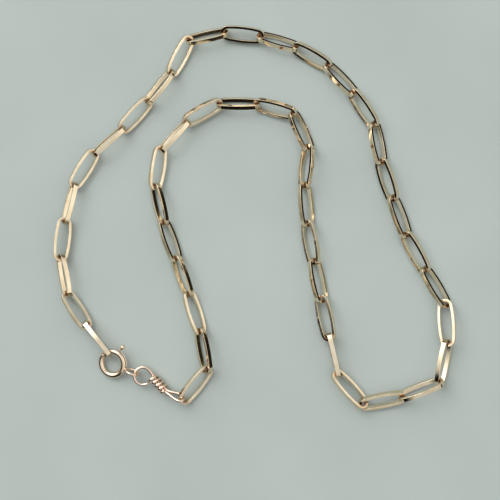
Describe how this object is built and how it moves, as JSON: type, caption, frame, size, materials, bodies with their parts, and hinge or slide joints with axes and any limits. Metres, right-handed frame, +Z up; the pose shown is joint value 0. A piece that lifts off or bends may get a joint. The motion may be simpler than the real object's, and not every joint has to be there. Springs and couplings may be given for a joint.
{
  "type": "paperclip chain necklace",
  "caption": "Gold paperclip chain necklace, fastened and laid flat: long oval flat-wire links, a spring ring clasp and a hand-wrapped wire loop.",
  "frame": {"origin": "centre of the laid-down necklace's outline, on the surface it lies on", "axes": "+Z up from the surface, +X to the right of the picture, +Y away from its lower edge"},
  "size_m": [0.1037, 0.1012, 0.0048],
  "materials": {
    "chain": "polished gold-filled",
    "clasp": "polished gold-filled",
    "wire": "polished, pinkish gold"
  },
  "bodies": {
    "necklace": {"link_01": "chain", "link_02": "chain", "link_03": "chain", "link_04": "chain", "link_05": "chain", "link_06": "chain", "link_07": "chain", "link_08": "chain", "link_09": "chain", "link_10": "chain", "link_11": "chain", "link_12": "chain", "link_13": "chain", "link_14": "chain", "link_15": "chain", "link_16": "chain", "link_17": "chain", "link_18": "chain", "link_19": "chain", "link_20": "chain", "link_21": "chain", "link_22": "chain", "link_23": "chain", "link_24": "chain", "link_25": "chain", "link_26": "chain", "link_27": "chain", "link_28": "chain", "link_29": "chain", "link_30": "chain", "link_31": "chain", "link_32": "chain", "link_33": "chain", "link_34": "chain", "link_35": "chain", "link_36": "chain", "link_37": "chain", "link_38": "chain", "link_39": "chain", "link_40": "chain", "link_41": "chain", "link_42": "chain", "link_43": "chain", "link_44": "chain", "clasp_ring": "clasp", "wire_loop": "wire"},
    "gate": {"clasp_gate": "clasp"}
  },
  "joints": [
    {"name": "gate_slide", "type": "hinge", "parent": "necklace", "child": "gate", "pos_m": [-0.0358, -0.0386, 0.00156], "axis": [-0.1629, -0.2011, 0.9659], "range_deg": [-60, 0], "stiffness_Nm_per_rad": 0.002, "springref_deg": 17.19}
  ]
}
